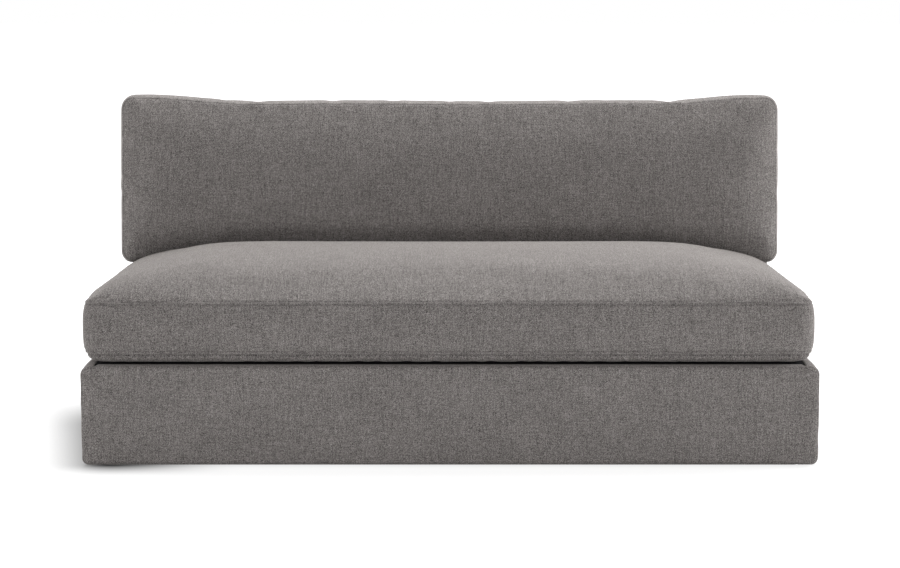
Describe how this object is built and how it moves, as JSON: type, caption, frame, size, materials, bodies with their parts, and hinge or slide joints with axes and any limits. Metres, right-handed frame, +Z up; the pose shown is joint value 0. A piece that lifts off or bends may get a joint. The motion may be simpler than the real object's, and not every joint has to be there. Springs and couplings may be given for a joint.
{
  "type": "armless sofa",
  "caption": "Armless sofa with an upholstered plinth base, a low sprung back frame, a loose bench seat cushion and a loose back cushion.",
  "frame": {"origin": "on the floor, under the middle of the sofa's overall box", "axes": "+Z up, +X along the width to the right of a person who looks at the front, -Y out of the front"},
  "size_m": [1.846, 1.016, 0.8938],
  "materials": {
    "grey_linen": "matte",
    "deck_cloth": "matte",
    "dust_cloth": "matte",
    "felt": "matte",
    "foam": "matte",
    "fibre": "matte",
    "webbing": "matte",
    "beech_rails": "matte",
    "birch_ply": "matte",
    "hardboard": "matte",
    "zinc_steel": "satin",
    "spring_steel": "satin",
    "glide_plastic": "satin",
    "zip_tape": "matte",
    "zip_metal": "satin"
  },
  "bodies": {
    "frame": {"base_front_rail": "beech_rails", "base_rear_rail": "beech_rails", "base_left_rail": "beech_rails", "base_right_rail": "beech_rails", "base_left_stretcher": "beech_rails", "base_right_stretcher": "beech_rails", "corner_blocks": "beech_rails", "back_left_post": "beech_rails", "back_right_post": "beech_rails", "back_top_board": "beech_rails", "back_upper_rail": "beech_rails", "back_lower_rail": "beech_rails", "back_centre_post": "beech_rails", "splice_plates": "birch_ply", "outside_back_board": "hardboard", "frame_bolts": "zinc_steel", "frame_washers": "zinc_steel", "frame_nuts": "zinc_steel", "seat_springs": "spring_steel", "spring_tie_wires": "spring_steel", "spring_clips": "zinc_steel", "clip_nails": "zinc_steel", "glide_nails": "zinc_steel", "glides": "glide_plastic", "back_webbing_across": "webbing", "back_webbing_upright": "webbing", "spring_insulator": "felt", "deck_foam": "foam", "dust_cover": "dust_cloth", "base_front_pad": "foam", "base_rear_pad": "foam", "base_left_pad": "foam", "base_right_pad": "foam", "inside_back_pad": "foam", "back_top_pad": "foam", "back_left_pad": "foam", "back_right_pad": "foam", "base_front_cover": "grey_linen", "base_rear_cover": "grey_linen", "base_left_cover": "grey_linen", "base_right_cover": "grey_linen", "base_hems": "grey_linen", "deck_cover": "deck_cloth", "inside_back_cover": "grey_linen", "outside_back_cover": "grey_linen", "back_top_cover": "grey_linen", "back_left_cover": "grey_linen", "back_right_cover": "grey_linen"},
    "seat_cushion": {"seat_cushion_cover": "grey_linen", "seat_cushion_wrap": "fibre", "seat_cushion_core": "foam", "seat_cushion_zip": "zip_tape"},
    "back_cushion": {"back_cushion_cover": "grey_linen", "back_cushion_wrap": "fibre", "back_cushion_core": "foam", "back_cushion_zip": "zip_tape"},
    "seat_zip_slider": {"seat_cushion_zip_slider": "zip_metal"},
    "back_zip_slider": {"back_cushion_zip_slider": "zip_metal"}
  },
  "joints": [
    {"name": "seat_cushion_lift", "type": "slide", "parent": "frame", "child": "seat_cushion", "axis": [0, 0, 1], "range_m": [0, 0.45]},
    {"name": "back_cushion_lift", "type": "slide", "parent": "seat_cushion", "child": "back_cushion", "axis": [0, 0, 1], "range_m": [0, 0.45]},
    {"name": "seat_zip_slide", "type": "slide", "parent": "seat_cushion", "child": "seat_zip_slider", "axis": [1, 0, 0], "range_m": [0, 1.484]},
    {"name": "back_zip_slide", "type": "slide", "parent": "back_cushion", "child": "back_zip_slider", "axis": [1, 0, 0], "range_m": [0, 1.484]}
  ]
}
